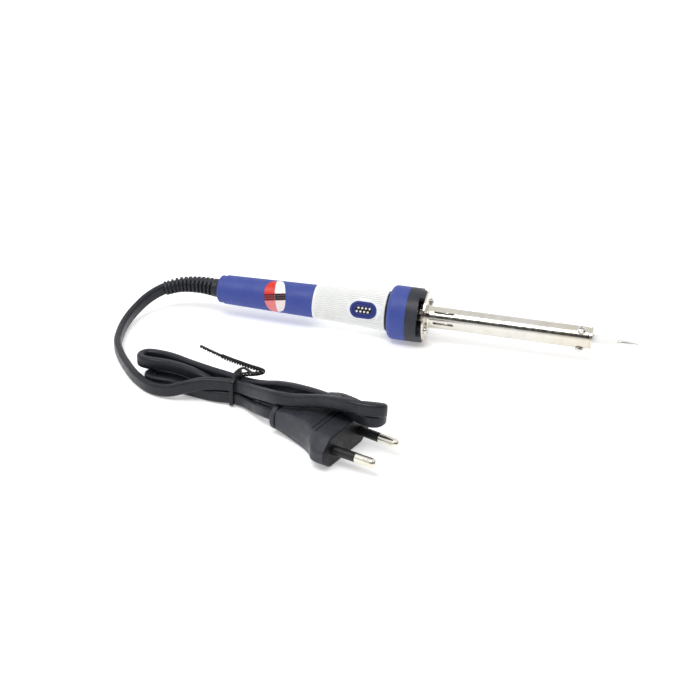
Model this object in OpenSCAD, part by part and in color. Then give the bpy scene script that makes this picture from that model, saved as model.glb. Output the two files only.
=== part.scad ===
// Pencil soldering iron with a power-boost button, a slotted steel barrel, a replaceable bit
// and a flat mains lead that is folded into a tied hank and ends in a two-pin plug.
// The iron lies along X with its bit towards +X; the collar rests on z = 0.

/* [Handle] */
// Length of the blue rear handle that shows
rear_l = 49; // [45:0.5:60]
// Diameter of the handle at its back end
rear_d = 14.3; // [14:0.1:15]
// Length of the white grip sleeve
grip_l = 36; // [34:0.5:45]
// Diameter where the handle meets the grip sleeve
grip_back_d = 16.3; // [16:0.1:17]
// Diameter of the grip sleeve at the collar
grip_front_d = 19.2; // [18.6:0.1:20]

/* [Collar] */
// Outside diameter of the collar and the heat guard
collar_d = 26; // [25.6:0.1:28]
// Length of the blue collar ring
collar_l = 9.2; // [8:0.1:12]
// Length of the black heat guard that shows
guard_l = 8; // [7.5:0.1:11]
// Number of cooling windows in the heat guard
guard_windows = 3; // [2:1:4]

/* [Barrel] */
// Outside diameter of the steel barrel
barrel_d = 10.4; // [10.2:0.1:10.8]
// Length of the barrel in front of the flange plate
barrel_l = 77.5; // [72:0.5:90]
// Number of vent slots round the root of the barrel
vents = 6; // [3:1:6]

/* [Bit] */
// Diameter of the bit's shank and of its ceramic sleeve
bit_d = 4.2; // [4:0.1:4.4]
// Length of the ceramic sleeve that shows
sleeve_l = 11.5; // [8:0.5:16]
// Length of the bare point
point_l = 9.5; // [8:0.1:14]
// Diameter of the point at its root
point_d = 2.1; // [1.8:0.1:2.4]

/* [Button] */
// Length of the button's bezel along the handle
bezel_l = 13; // [12:0.1:14]
// Width of the button's bezel
bezel_w = 8; // [7.8:0.1:8.8]
// Travel of the button
button_travel = 0.9; // [0.5:0.1:0.9]
// Angle of the button above the side of the handle, in degrees
button_angle = 19; // [0:1:60]

/* [Cord] */
// Width of the flat cord
cord_w = 5.6; // [5.2:0.1:5.6]
// Thickness of the flat cord
cord_t = 3.4; // [3:0.1:3.4]

/* [Plug] */
// Width of the plug at its face
plug_w = 35.3; // [34:0.1:36]
// Thickness of the plug
plug_t = 13.7; // [13:0.1:13.7]
// Length of the plug from its face to its rear flange
plug_l = 32; // [31.5:0.5:36]
// Length of a pin
pin_l = 19; // [18.5:0.1:19.5]
// Distance between the pins at the face
pin_pitch = 18.6; // [18:0.1:19]

/* [Hidden] */
$fn = 64;

// Colours
blue = [0.20, 0.27, 0.62];
white = [0.93, 0.93, 0.90];
black = [0.08, 0.08, 0.09];
steel = [0.78, 0.76, 0.72];

// Fits between pieces
seat_gap = 0.05;        // between pieces that are pressed or glued together
running_gap = 0.05;     // radial play of a shaft in its hole
free_gap = 0.2;         // all round a piece that moves in a window

// Stations along the axis, from the back of the handle to the point
neck_l = 1.1;
plate_t = 0.8;
total_l = rear_l + grip_l + neck_l + collar_l + guard_l + plate_t + barrel_l + sleeve_l + point_l;
rear_x = -total_l / 2;
grip_x = rear_x + rear_l;
neck_x = grip_x + grip_l;
collar_x = neck_x + neck_l;
guard_x = collar_x + collar_l;
plate_x = guard_x + guard_l;
barrel_x = plate_x + plate_t;
mouth_x = barrel_x + barrel_l;
point_x = mouth_x + sleeve_l;
tip_x = point_x + point_l;
axis_z = collar_d / 2;

// Handle shells
core_r = 7;             // inner tube under the grip sleeve
cavity_r = 5.2;         // hollow for the wiring
core_end_x = guard_x - 1;
rear_hole_r = 4;
rear_wall = 3;
step_l = 3.4;           // narrower step at the handle's back end

// Collar and guard
collar_hollow_r = 11;
guard_hollow_r = 10.6;
guard_floor = 1.5;
window_angle = 19;      // of the first window's middle above the iron's side
window_spread = 90;
boss_r = 2;
screw_pcd_r = 8.4;
screw_shank_r = 1.1;
screw_angles = [150, 330];
plate_r = 12.2;

// Barrel
barrel_r = barrel_d / 2;
barrel_wall = 0.4;
barrel_tail = 6;        // length of barrel behind the plate
vent_l = 9.8;
vent_w = 1.3;
vent_x = barrel_x + 3.4;
bush_l = 13;
bush_recess = 0.4;
set_x = mouth_x - 5.3;
set_angles = [60, -60];
set_r = 1.2;

// Bit
bit_r = bit_d / 2;
shank_x = mouth_x - 31;
shank_end_x = mouth_x - 1;
point_r = point_d / 2;

// Heater
heater_x = barrel_x + 24;
heater_l = 38;
heater_r = 3;

// Wiring, from the clamp at the back to the bead in the barrel
tail_x = rear_x + 5.5;
tail_l = 14;
clamp_x = rear_x + 13;
terminal_x = rear_x + 36;
terminal_l = 8;
bead_x = barrel_x + 10;
bead_l = 12;
bead_reach = 2;

// Button, measured outwards from the axis
button_x = neck_x - 10.4;
cap_l = bezel_l - 2.8;
cap_w = bezel_w - 2.6;
cap_bottom = 4.6;
cap_top = 9.3;
rim_top = 9.6;
flange_l = cap_l + 2.4;
flange_w = 4.4;
flange_t = 0.6;
board_top = -1.2;
switch_top = 2.2;
plunger_bottom = switch_top - 0.9;
plunger_r = 1.6;

// Clamp that holds the cord inside the handle
clamp_l = 6;
clamp_w = 8.4;
clamp_t = 0.8;
clamp_screw_r = 0.6;
clamp_screw_l = 5.6;

// Route of the free cord, from the strain relief to the tie
relief_route = [[-101.4, 0, 13], [-112, 0, 13.5], [-121.5, -1.4, 12.9], [-129, -4.6, 11.2]];
free_route = [
    [-129, -4.6, 11.2], [-134.6, -11.3, 8.7], [-138, -21, 5.6], [-138.5, -32, 3.7], [-136.5, -43, 2.9],
    [-133, -53, 2.9], [-127, -62.5, 2.9], [-119.5, -71.8, 2.9], [-111.5, -80, 2.9],
    [-102, -86.2, 2.9], [-93.5, -88, 4], [-86, -87.2, 6.4], [-78.5, -85.6, 8.5], [-70, -84.4, 9]
];

// Route of the short lead from the hank to the plug
lead_route = [
    [-59.5, -86.2, 3.4], [-54, -90.2, 4.2], [-49.5, -94.4, 5.7], [-45.3, -97.4, 6.7],
    [-41.3, -98.7, 6.85]
];

// Route of the twisted tail of the wire tie: from the knot forward, and back to its end
tail_route = [
    [-63, -80.6, 12.8], [-57.5, -79.6, 13.6], [-54, -76.9, 13.8], [-58.5, -76.2, 14.1],
    [-72.5, -72.8, 14.5], [-87, -65, 15]
];

// Hank: centres of the folds at its two ends, and of its waist under the tie
left_fold_r = 5.7;
waist_r = 5.4;
hank_left = [[-109.4, -71.2], [-103.8, -76.8]];
hank_rise = [                  // the right end climbs over the plug: [x, y, bottom, radius]
    [-46, -84.8, 0.2, 5.4], [-31, -86.2, 9, 5], [-21, -91.5, 14, 5.2], [1.5, -105.6, 14, 5.2]
];
hank_waist = [-65, -81.2];
hank_h = 2 * cord_w + 0.2;     // two layers of the cord, which lies on its edge

// Plug: middle of its face, and the way its pins point
plug_pos = [-8, -109.5, plug_t / 2];
plug_yaw = -18;
pin_tip_pitch = 17.5;
pin_r = 2;
pin_neck_r = 1.5;       // under the insulating sleeve
pin_sleeve_l = 10;
pin_root = 8;           // length of pin moulded into the body

// ---- helpers ----

// Lays a shape that is drawn along +Z onto the iron's axis, starting at station x
module on_axis(x = 0) {
    translate([x, 0, axis_z]) rotate([0, 90, 0]) children();
}

// Solid of revolution about the iron's axis from [radius, station] points
module turned(profile) {
    on_axis() rotate_extrude() polygon(profile);
}

// Plain tube about the iron's axis
module tube(x, length, outer_r, inner_r) {
    turned([[inner_r, x], [outer_r, x], [outer_r, x + length], [inner_r, x + length]]);
}

// Turns a shape so that its +Z points out of the iron's side, angle degrees above -Y
module facing(angle, x) {
    translate([x, 0, axis_z]) rotate([90 - angle, 0, 0]) children();
}

// Flat-sided oval with round ends, long side along X, drawn in the XY plane
module oval(length, width) {
    square([length - width, width], center = true);
    for (side = [-1, 1])
        translate([side * (length - width) / 2, 0]) circle(d = width);
}

module oval_block(length, width, from, to) {
    translate([0, 0, from]) linear_extrude(to - from) oval(length, width);
}

// Smooth curve through a list of points, with steps pieces between each pair
function between(a, b, c, d, t) =
    b + (c - a) * t / 2
    + (2 * a - 5 * b + 4 * c - d) * t * t / 2
    + (3 * b - 3 * c + d - a) * t * t * t / 2;
function held(points, i) = points[min(max(i, 0), len(points) - 1)];
function smooth(points, steps) = [
    for (i = [0 : len(points) - 2], k = [0 : steps - 1])
        between(held(points, i - 1), points[i], points[i + 1], held(points, i + 2), k / steps),
    points[len(points) - 1]
];

function unit(v) = v / norm(v);
function heading(path, i) = unit(held(path, i + 1) - held(path, i - 1));

// Oval section of a sweep at point i: width lies level and height stands up
function section(path, i, width, height, sides) =
    let (ahead = heading(path, i), level = unit(cross(ahead, [0, 0, 1])), up = cross(level, ahead))
    [for (k = [0 : sides - 1])
        path[i] + level * width / 2 * cos(360 * k / sides) + up * height / 2 * sin(360 * k / sides)];

// Closed tube along a path; widths and heights hold one value for each point
module swept(path, widths, heights, sides) {
    rings = len(path);
    points = [for (i = [0 : rings - 1]) each section(path, i, widths[i], heights[i], sides)];
    walls = [for (i = [0 : rings - 2], k = [0 : sides - 1])
        let (a = i * sides + k, b = i * sides + (k + 1) % sides) [a, b, b + sides, a + sides]];
    back = [[for (k = [0 : sides - 1]) sides - 1 - k]];
    front = [[for (k = [0 : sides - 1]) (rings - 1) * sides + k]];
    polyhedron(points, concat(back, walls, front), convexity = 6);
}

module even_tube(path, width, height, sides) {
    swept(path, [for (p = path) width], [for (p = path) height], sides);
}

// ---- handle ----

// Oval hole through the handle for the button, out to the given radius
module button_hole(length, width, outer) {
    facing(button_angle, button_x) oval_block(length, width, 2, outer);
}

module rear_handle() {
    step_r = rear_d / 2 - 0.4;
    color(blue) difference() {
        turned([
            [rear_hole_r, rear_x], [step_r - 0.7, rear_x], [step_r, rear_x + 0.7],
            [step_r, rear_x + step_l - 0.4], [rear_d / 2, rear_x + step_l], [grip_back_d / 2, grip_x],
            [core_r, grip_x], [core_r, core_end_x], [cavity_r, core_end_x],
            [cavity_r, rear_x + rear_wall], [rear_hole_r, rear_x + rear_wall]
        ]);
        button_hole(cap_l + 2 * free_gap, cap_w + 2 * free_gap, core_r + 2);
    }
    color(blue) cord_saddle();
}

// Solid bed under the cord that takes the screws of the clamp
module cord_saddle() {
    difference() {
        tube(clamp_x - clamp_l / 2, clamp_l, cavity_r + 0.2, 0);
        wiring() translate([clamp_x - clamp_l, -cavity_r * 2, -cord_t / 2 - seat_gap])
            cube([2 * clamp_l, cavity_r * 4, cavity_r * 2]);
        wiring() clamp_points() cylinder(r = clamp_screw_r + 0.02, h = 2 * clamp_screw_l, center = true);
    }
}

module front_grip() {
    bore_r = core_r + seat_gap;
    color(white) difference() {
        turned([
            [bore_r, grip_x + seat_gap], [grip_back_d / 2, grip_x + seat_gap],
            [grip_front_d / 2, neck_x - 0.6], [grip_front_d / 2 - 0.6, neck_x], [bore_r, neck_x]
        ]);
        button_hole(bezel_l + 2 * seat_gap, bezel_w + 2 * seat_gap, rim_top + 4);
    }
}

// Thin oval sticker wrapped half-way round the side of the rear handle
module handle_label() {
    label_x = rear_x + 30.2;
    label_angle = 24;
    label_l = 10.8;
    label_reach = 21;       // measured round the handle
    tilt = 9;
    skin_r = (rear_d + grip_back_d) / 4;
    outline = [for (t = [0 : 10 : 350])
        [label_l / 2 * cos(t), skin_r * sin(label_reach / 2 / skin_r * 180 / PI * sin(t))]];
    color("red") intersection() {
        facing(label_angle, label_x) rotate([0, 0, tilt])
            translate([0, 0, 1]) linear_extrude(skin_r) polygon(outline);
        difference() {
            handle_taper(0.15);
            handle_taper(0.03);
        }
    }
}

// The tapered part of the rear handle, grown by the given amount
module handle_taper(grown) {
    turned([
        [0, rear_x + step_l], [rear_d / 2 + grown, rear_x + step_l], [grip_back_d / 2 + grown, grip_x],
        [0, grip_x]
    ]);
}

// ---- collar, guard and flange ----

module neck_ring() {
    color(black) tube(neck_x + seat_gap, neck_l - 2 * seat_gap, grip_front_d / 2, core_r + seat_gap);
}

// Ring with a rounded back edge and a back wall that fits over the handle's core
module collar_ring() {
    edge_r = 2.6;
    round_edge = [for (a = [0 : 15 : 90])
        [collar_d / 2 - edge_r * (1 - sin(a)), collar_x + edge_r * (1 - cos(a))]];
    color(blue) turned(concat(
        [[core_r + seat_gap, collar_x]],
        round_edge,
        [[collar_d / 2, guard_x - seat_gap], [collar_hollow_r, guard_x - seat_gap],
         [collar_hollow_r, collar_x + 2.5], [core_r + seat_gap, collar_x + 2.5]]
    ));
}

// Black cup that holds the flange plate away from the handle
module heat_guard() {
    spigot_x = collar_x + 4;
    floor_x = guard_x + guard_floor;
    color(black) difference() {
        union() {
            turned([
                [core_r + seat_gap, spigot_x], [collar_hollow_r - seat_gap, spigot_x],
                [collar_hollow_r - seat_gap, guard_x], [collar_d / 2, guard_x],
                [collar_d / 2, plate_x - 0.5], [collar_d / 2 - 0.5, plate_x - seat_gap],
                [guard_hollow_r, plate_x - seat_gap], [guard_hollow_r, floor_x],
                [barrel_r + 0.4, floor_x], [barrel_r + 0.4, core_end_x + seat_gap],
                [core_r + seat_gap, core_end_x + seat_gap]
            ]);
            at_screws(floor_x - 0.5) cylinder(r = boss_r, h = plate_x - seat_gap - floor_x + 0.5);
        }
        for (i = [0 : guard_windows - 1])
            guard_window(window_angle + i * 360 / guard_windows, window_spread, floor_x + 4);
        at_screws(plate_x - 5.5) cylinder(r = screw_shank_r + seat_gap, h = 6);
    }
}

// Puts a shape that is drawn along +Z at each flange screw, starting at station x
module at_screws(x) {
    for (angle = screw_angles)
        facing(angle, x) translate([0, 0, screw_pcd_r]) rotate([0, 90, 0]) children();
}

// Wedge that opens the guard's wall in front of station x
module guard_window(angle, spread, x) {
    reach = collar_d;
    facing(angle, x) rotate([0, 90, 0]) linear_extrude(guard_l)
        difference() {
            polygon([for (a = [-spread / 2, 0, spread / 2]) each [reach * [-cos(a), sin(a)]], [0, 0]]);
            circle(r = guard_hollow_r - 0.3);
        }
}

// Steel disc with a tab bent back into each window of the guard
module flange_plate() {
    tab_w = 2.2;
    tab_l = 1.4;
    tab_t = 0.7;
    color(steel) difference() {
        union() {
            tube(plate_x, plate_t, plate_r, barrel_r + 0.02);
            for (i = [0 : guard_windows - 1])
                facing(window_angle + 15 + i * 360 / guard_windows, plate_x)
                    translate([-tab_l, -tab_w / 2, plate_r - tab_t - 0.3]) cube([tab_l + 0.1, tab_w, tab_t]);
        }
        at_screws(plate_x - 1) cylinder(r = screw_shank_r + seat_gap, h = 4);
    }
}

// Pan-head screw along +Z: its head stands on z = 0 and its shank hangs below
module cross_screw(head_r, head_h, shank_r, shank_l) {
    slot = head_r * 1.3;
    difference() {
        union() {
            translate([0, 0, -shank_l]) cylinder(r = shank_r, h = shank_l);
            rotate_extrude() polygon([
                [0, 0], [head_r, 0], [head_r, head_h * 0.5], [head_r * 0.75, head_h * 0.9],
                [head_r * 0.5, head_h], [0, head_h]
            ]);
        }
        for (turn = [0, 90])
            rotate([0, 0, turn]) translate([-slot / 2, -0.25, head_h * 0.4]) cube([slot, 0.5, head_h]);
    }
}

module flange_screws() {
    color(steel) at_screws(barrel_x + seat_gap) cross_screw(1.8, 1.2, screw_shank_r, 5);
}

// ---- barrel ----

module barrel() {
    inner_r = barrel_r - barrel_wall;
    bead_x = mouth_x - 1.9;
    flare = 0.35;
    color(steel) difference() {
        turned([
            [inner_r, plate_x - barrel_tail], [barrel_r, plate_x - barrel_tail], [barrel_r, barrel_x + 0.02],
            [barrel_r + flare, barrel_x + 0.02], [barrel_r + flare, barrel_x + 0.8], [barrel_r, barrel_x + 1.4],
            [barrel_r, bead_x], [barrel_r - 0.2, bead_x + 0.3], [barrel_r - 0.2, bead_x + 0.7],
            [barrel_r + 0.1, bead_x + 1], [barrel_r + 0.1, mouth_x - 0.2],
            [barrel_r - 0.1, mouth_x], [inner_r, mouth_x]
        ]);
        for (i = [0 : vents - 1])
            facing(-8 + i * 360 / vents, vent_x + vent_l / 2) oval_block(vent_l, vent_w, 3, 8);
        for (angle = set_angles)
            facing(angle, set_x) cylinder(r = set_r + free_gap, h = 8);
    }
}

// Steel bush in the barrel's mouth that guides the bit and takes the set screws
module bit_bush() {
    outer_r = barrel_r - barrel_wall - seat_gap;
    color(steel) difference() {
        tube(mouth_x - bush_l - bush_recess, bush_l, outer_r, bit_r + running_gap);
        for (angle = set_angles)
            facing(angle, set_x) cylinder(r = set_r + running_gap, h = 8);
    }
}

module set_screw(angle) {
    color(steel) facing(angle, set_x)
        translate([0, 0, barrel_r + 0.15]) cross_screw(2, 1.5, set_r, barrel_r + 0.15 - bit_r - 0.15);
}

module set_screw_upper() {
    set_screw(set_angles[0]);
}

module set_screw_lower() {
    set_screw(set_angles[1]);
}

// ---- bit ----

module bit() {
    color(steel) turned([
        [0, shank_x], [bit_r - 0.3, shank_x], [bit_r, shank_x + 0.3], [bit_r, shank_end_x],
        [point_r, shank_end_x], [point_r, point_x + 1.5], [point_r * 0.8, point_x + 4.5],
        [0.35, tip_x - 0.1], [0.2, tip_x], [0, tip_x]
    ]);
}

module bit_sleeve() {
    color(white) tube(shank_end_x + 0.02, point_x - shank_end_x, bit_r, point_r + 0.02);
}

// ---- heater ----

module heater_core() {
    color([0.90, 0.86, 0.80]) tube(heater_x, heater_l, heater_r, bit_r + running_gap);
}

// Resistance wire wound on the ceramic core
module heater_winding() {
    turns = 12;
    steps = 10;
    wire = 0.5;
    coil_r = heater_r + wire / 2 + 0.2;
    start = heater_x + 4;
    pitch = (heater_l - 8) / turns;
    path = [for (i = [0 : turns * steps])
        let (a = 360 * i / steps)
        [start + pitch * i / steps, coil_r * cos(a), axis_z + coil_r * sin(a)]];
    color("silver") wound(path, wire, 5);
}

// Wire of round section along a helix about the iron's axis
module wound(path, wire, sides) {
    rings = len(path);
    points = [for (p = path)
        let (out = unit([0, p[1], p[2] - axis_z]))
        for (k = [0 : sides - 1])
            p + wire / 2 * (out * cos(360 * k / sides) + [1, 0, 0] * sin(360 * k / sides))];
    walls = [for (i = [0 : rings - 2], k = [0 : sides - 1])
        let (a = i * sides + k, b = i * sides + (k + 1) % sides)
        each [[b, a, b + sides], [a, a + sides, b + sides]]];
    back = [[for (k = [0 : sides - 1]) k]];
    front = [[for (k = [0 : sides - 1]) rings * sides - 1 - k]];
    polyhedron(points, concat(back, walls, front), convexity = 10);
}

module mica_sleeve() {
    color([0.72, 0.62, 0.42]) tube(heater_x + 2, heater_l - 4, heater_r + 1.1, heater_r + 0.8);
}

// Wiring frame: X along the iron, Y across the circuit board and Z out towards the button
module wiring() {
    facing(button_angle, 0) children();
}

// Straight round wires on both sides of the axis, reach away from it
module wire_pair(from, to, reach, radius) {
    wiring()
        for (side = [-1, 1])
            translate([from, side * reach, 0]) rotate([0, 90, 0])
                cylinder(r = radius, h = to - from, $fn = 24);
}

// Ceramic bead with two holes for the heater's leads
module lead_insulator() {
    color([0.90, 0.86, 0.80]) difference() {
        tube(bead_x, bead_l, 3.4, 0.6);
        wire_pair(bead_x - 1, bead_x + bead_l + 1, bead_reach, 0.6);
    }
}

module heater_leads() {
    color("silver") wire_pair(bead_x - 1.5, heater_x - 0.5, bead_reach, 0.4);
}

// Glass-fibre sleeving over the two wires that run forward behind the circuit board
module lead_sleeves() {
    back = -3.6;
    color([0.85, 0.83, 0.75]) wiring()
        for (side = [-1, 1])
            even_tube(smooth([
                [terminal_x + terminal_l + 0.2, side * 2.4, 0], [button_x - 21, side * 2, back + 0.4],
                [button_x - 12, side * 1.8, back], [button_x + 10, side * 1.8, back],
                [guard_x - 1, side * 2, -2], [bead_x - 1.7, side * bead_reach, 0]
            ], 3), 1.3, 1.3, 8);
}

// ---- button and switch ----

module button_bezel() {
    color(blue) facing(button_angle, button_x) difference() {
        oval_block(bezel_l, bezel_w, core_r + seat_gap, rim_top);
        oval_block(cap_l + 2 * free_gap, cap_w + 2 * free_gap, 0, rim_top + 1);
    }
}

module button() {
    color(blue) facing(button_angle, button_x) difference() {
        union() {
            oval_block(cap_l, cap_w, cap_bottom, cap_top);
            oval_block(flange_l, flange_w, cap_bottom - flange_t, cap_bottom);
            translate([0, 0, switch_top + 0.55]) cylinder(r = 1.2, h = 2);
        }
        oval_block(cap_l - 2, cap_w - 2, cap_top - 0.5, cap_top + 1);
    }
}

// Dark pad in the hollow of the button
module button_inlay() {
    color(black) facing(button_angle, button_x)
        oval_block(cap_l - 2.1, cap_w - 2.1, cap_top - 0.48, cap_top - 0.2);
}

// Two rows of raised grip points on the dark pad
module button_nibs() {
    columns = 4;
    pitch = 1.8;
    stagger = 0.35;
    color(white) facing(button_angle, button_x)
        for (i = [0 : columns - 1], row = [-1, 1])
            translate([(i - (columns - 1) / 2) * pitch + row * stagger, row * 0.85, cap_top - 0.18])
                cylinder(r = 0.5, h = 0.45);
}

module switch_body() {
    color(black) facing(button_angle, button_x) difference() {
        translate([-3, -3, board_top + 0.02]) cube([6, 6, switch_top - board_top]);
        translate([0, 0, plunger_bottom - button_travel - 0.1]) cylinder(r = plunger_r + 0.1, h = 3);
    }
}

module switch_plunger() {
    color("silver") facing(button_angle, button_x)
        translate([0, 0, plunger_bottom]) cylinder(r = plunger_r, h = 1.4);
}

module circuit_board() {
    color([0.10, 0.35, 0.18]) facing(button_angle, button_x)
        translate([-17, -4, board_top - 1.2]) cube([24, 8, 1.2]);
}

// Diode that halves the power when the button is up
module diode() {
    body_r = 1.3;
    middle = -11.5;
    color(black) facing(button_angle, button_x) {
        translate([middle - 2.5, 0, board_top + body_r + 0.1]) rotate([0, 90, 0]) cylinder(r = body_r, h = 5);
        for (side = [-1, 1])
            translate([middle + side * 3.6, 0, board_top]) cylinder(r = 0.35, h = 1.7, $fn = 24);
        for (side = [0, 1])
            translate([middle - 3.9 + side * 6.4, 0, board_top + body_r + 0.1]) rotate([0, 90, 0])
                cylinder(r = 0.35, h = 1.4, $fn = 24);
    }
}

// ---- wiring inside the handle ----

module wire_terminals() {
    color("silver") wire_pair(terminal_x, terminal_x + terminal_l, 2.4, 1.3);
}

// End of the cord that the clamp holds inside the handle
module cord_tail() {
    color(black) wiring() translate([tail_x, 0, 0]) rotate([0, 90, 0])
        linear_extrude(tail_l) rotate([0, 0, 90]) oval(cord_w, cord_t);
}

// Bridge across the flat cord
module cord_clamp() {
    color(white) wiring() difference() {
        translate([clamp_x - clamp_l / 2, -clamp_w / 2, cord_t / 2 + seat_gap]) cube([clamp_l, clamp_w, clamp_t]);
        clamp_points() cylinder(r = clamp_screw_r + seat_gap, h = 3, center = true);
    }
}

// The tops of the clamp's two screw holes, one on each side of the cord
module clamp_points() {
    reach = cord_w / 2 + clamp_screw_r + seat_gap;
    for (side = [-1, 1])
        translate([clamp_x, side * reach, cord_t / 2 + clamp_t + 2 * seat_gap]) children();
}

module clamp_screws() {
    color(steel) wiring() clamp_points() cross_screw(0.85, 0.4, clamp_screw_r, clamp_screw_l);
}

module mains_core(side) {
    wiring() even_tube(smooth([
        [tail_x + tail_l + 0.1, side * 1.3, 0], [clamp_x + 14, side * 2.2, 0.5],
        [clamp_x + 19, side * 2.4, 0.2], [terminal_x - 0.1, side * 2.4, 0]
    ], 3), 1.9, 1.9, 8);
}

module mains_core_brown() {
    color([0.36, 0.20, 0.10]) mains_core(1);
}

module mains_core_blue() {
    color([0.15, 0.35, 0.75]) mains_core(-1);
}

// ---- cord ----

// Ribbed boot that tapers along the first bend of the cord, with a tail inside the handle
module strain_relief() {
    ribs = 12;
    root_d = 9.2;
    end_d = 6.9;
    path = smooth(relief_route, 2 * ribs / 3);
    last = len(path) - 1;
    widths = [for (i = [0 : last]) root_d + (end_d - root_d) * i / last - (i % 2) * 0.8];
    color(black) {
        swept(path, widths, widths, 16);
        on_axis(rear_x - 0.6) cylinder(r = rear_hole_r - 0.02, h = rear_wall + 1.6);
        on_axis(rear_x + rear_wall + 0.02) cylinder(r = rear_hole_r + 0.8, h = 2.4);
    }
}

module cord_tube() {
    color(black) even_tube(smooth(free_route, 2), cord_t, cord_w, 10);
}

// Left end of the hank: round folds that narrow to the waist under the tie
module hank_left_end() {
    linear_extrude(hank_h) hull() {
        for (fold = hank_left)
            translate(fold) circle(r = left_fold_r, $fn = 32);
        translate(hank_waist) circle(r = waist_r, $fn = 32);
    }
}

// Right end of the hank: flat as far as the plug, then up and over its shoulder
module hank_right_end() {
    stops = concat([[hank_waist[0], hank_waist[1], 0, waist_r]], hank_rise);
    for (i = [0 : len(stops) - 2])
        hull()
            for (stop = [stops[i], stops[i + 1]])
                translate([stop[0], stop[1], stop[2]]) cylinder(r = stop[3], h = hank_h, $fn = 32);
}

module cord_hank() {
    color(black) {
        hank_left_end();
        hank_right_end();
    }
}

module plug_lead() {
    color(black) even_tube(smooth(lead_route, 2), cord_t, cord_w, 10);
}

// Wire tie over the waist of the hank, with its two twisted ends
module twist_tie() {
    wire = 1.4;
    strap_w = 1.8;
    inner_w = 2 * waist_r + 0.4;
    color(black) {
        difference() {
            translate([hank_waist[0] - strap_w / 2, hank_waist[1] - inner_w / 2 - wire, 0.2])
                cube([strap_w, inner_w + 2 * wire, hank_h + wire - 0.2]);
            translate([hank_waist[0] - strap_w, hank_waist[1] - inner_w / 2, -1])
                cube([2 * strap_w, inner_w, hank_h + 1.05]);
        }
        even_tube(smooth(tail_route, 4), wire, wire, 8);
    }
}

// ---- plug ----

// Places a shape drawn along +X, with the middle of the plug's face at the origin
module at_plug() {
    translate(plug_pos) rotate([0, 0, plug_yaw]) children();
}

// Six-sided rounded section of the plug's body
function plug_section(x, half_w, flat, half_t) =
    let (edge = half_t * 0.35, r = half_t * 0.15)
    [for (p = [
        [half_w, -edge + r], [half_w, edge - r], [half_w - r, edge + r * 0.4],
        [flat + r, half_t - r * 0.4], [flat - r, half_t],
        [-flat + r, half_t], [-flat - r, half_t - r * 0.4], [-half_w + r, edge + r * 0.4],
        [-half_w, edge - r], [-half_w, -edge + r], [-half_w + r, -edge - r * 0.4],
        [-flat - r, -half_t + r * 0.4], [-flat + r, -half_t],
        [flat - r, -half_t], [flat + r, -half_t + r * 0.4], [half_w - r, -edge - r * 0.4]
    ]) [x, p[0], p[1]]];

module plug_body() {
    wide = plug_w / 2;
    thick = plug_t / 2;
    // Position, half of the width, half of the flat's width, half of the thickness
    stations = [
        [-plug_l, 5.0, 4.1, 4.6], [-28, 5.4, 4.5, 5.2], [-24, 6.1, 5.1, 5.9], [-19.5, 7.3, 6, 6.5],
        [-15.5, 8.9, 7.2, thick], [-12, 11, 9.2, thick], [-9, 14, 10.8, thick], [-6.5, 16.8, 11.8, thick],
        [-4, wide, 12, thick], [-0.8, wide, 12, thick], [0, wide - 0.8, 11.5, thick - 0.8]
    ];
    rings = [for (s = stations) plug_section(s[0], s[1], s[2], s[3])];
    sides = len(rings[0]);
    walls = [for (i = [0 : len(rings) - 2], k = [0 : sides - 1])
        let (a = i * sides + k, b = i * sides + (k + 1) % sides)
        each [[a, a + sides, b + sides], [a, b + sides, b]]];
    back = [[for (k = [0 : sides - 1]) k]];
    front = [[for (k = [0 : sides - 1]) len(rings) * sides - 1 - k]];
    color(black) at_plug() polyhedron([for (r = rings) each r], concat(back, walls, front), convexity = 4);
}

// Round flange where the lead enters the plug
module plug_relief() {
    color(black) at_plug() rotate([0, -90, 0]) translate([0, 0, plug_l + 0.02]) rotate_extrude() polygon([
        [0, 0], [5.3, 0], [5.7, 0.4], [5.7, 1.6], [5.3, 2], [4.4, 2.2], [4, 3], [0, 3]
    ]);
}

// Puts a shape drawn along +Z at the root of each pin, leaning in towards the other pin
module each_pin() {
    lean = atan((pin_pitch - pin_tip_pitch) / 2 / pin_l);
    at_plug()
        for (side = [-1, 1])
            translate([0, side * pin_pitch / 2, 0]) rotate([0, 90, -side * lean]) children();
}

module plug_pins() {
    color([0.85, 0.80, 0.68]) each_pin() rotate_extrude() polygon(concat(
        [[0, -pin_root], [pin_neck_r, -pin_root], [pin_neck_r, pin_sleeve_l], [pin_r, pin_sleeve_l]],
        [for (a = [0 : 15 : 90]) [pin_r * cos(a), pin_l - pin_r + pin_r * sin(a)]]
    ));
}

module pin_sleeves() {
    color(black) each_pin() difference() {
        translate([0, 0, 0.08]) cylinder(r = pin_r, h = pin_sleeve_l - 0.1);
        cylinder(r = pin_neck_r + 0.02, h = pin_sleeve_l + 1);
    }
}

rear_handle();
front_grip();
handle_label();
neck_ring();
collar_ring();
heat_guard();
flange_plate();
flange_screws();
barrel();
bit_bush();
set_screw_upper();
set_screw_lower();
bit();
bit_sleeve();
heater_core();
heater_winding();
mica_sleeve();
lead_insulator();
heater_leads();
lead_sleeves();
button_bezel();
button();
button_inlay();
button_nibs();
switch_body();
switch_plunger();
circuit_board();
diode();
wire_terminals();
cord_clamp();
clamp_screws();
cord_tail();
mains_core_brown();
mains_core_blue();
strain_relief();
cord_tube();
cord_hank();
plug_lead();
plug_relief();
plug_body();
plug_pins();
pin_sleeves();
twist_tie();
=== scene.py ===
import math

import bmesh
import bpy
import numpy as np
from mathutils import Matrix, Vector


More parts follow.
